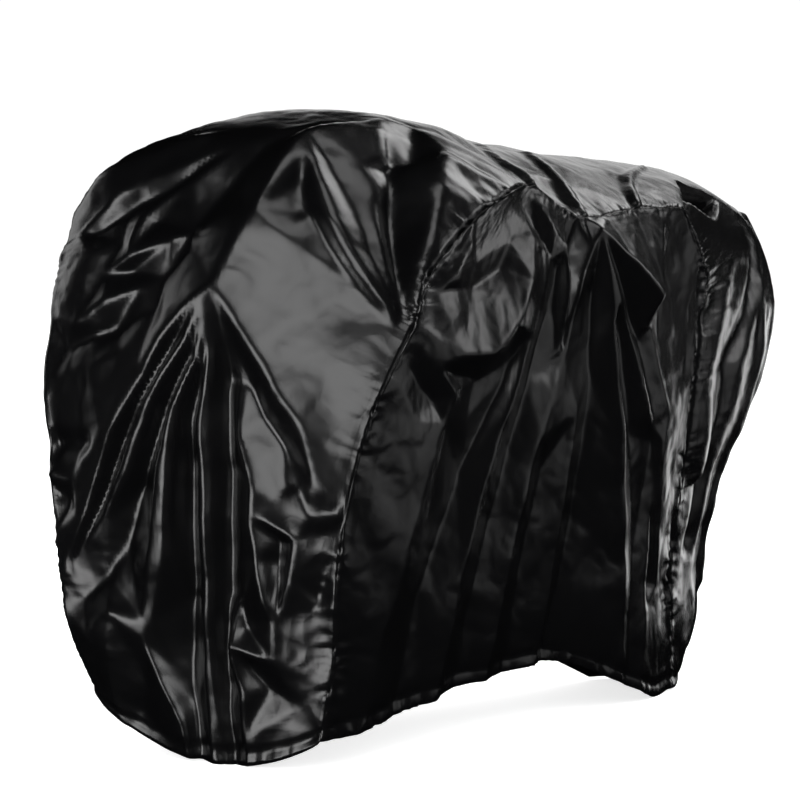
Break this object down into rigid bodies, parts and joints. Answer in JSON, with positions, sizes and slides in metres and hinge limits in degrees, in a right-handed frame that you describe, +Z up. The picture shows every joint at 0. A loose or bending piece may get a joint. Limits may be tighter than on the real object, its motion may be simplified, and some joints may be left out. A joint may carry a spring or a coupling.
{
  "type": "bicycle cover",
  "caption": "Fitted dust and rain cover of thin glossy black cloth that drops over an upright bicycle and hangs to the ground in folds.",
  "frame": {"origin": "the middle of the foot of the box round the cover: on the ground, half way along and half way across", "axes": "+X towards the rear of the bicycle, +Y towards the far side, +Z up"},
  "size_m": [1.9454, 0.6845, 1.193],
  "materials": {
    "strip_taffeta": "glossy black coated polyester taffeta",
    "panel_taffeta": "glossy black coated polyester taffeta"
  },
  "bodies": {
    "root": {"centre_strip": "strip_taffeta", "near_side_panel": "panel_taffeta", "far_side_panel": "panel_taffeta"}
  },
  "joints": []
}
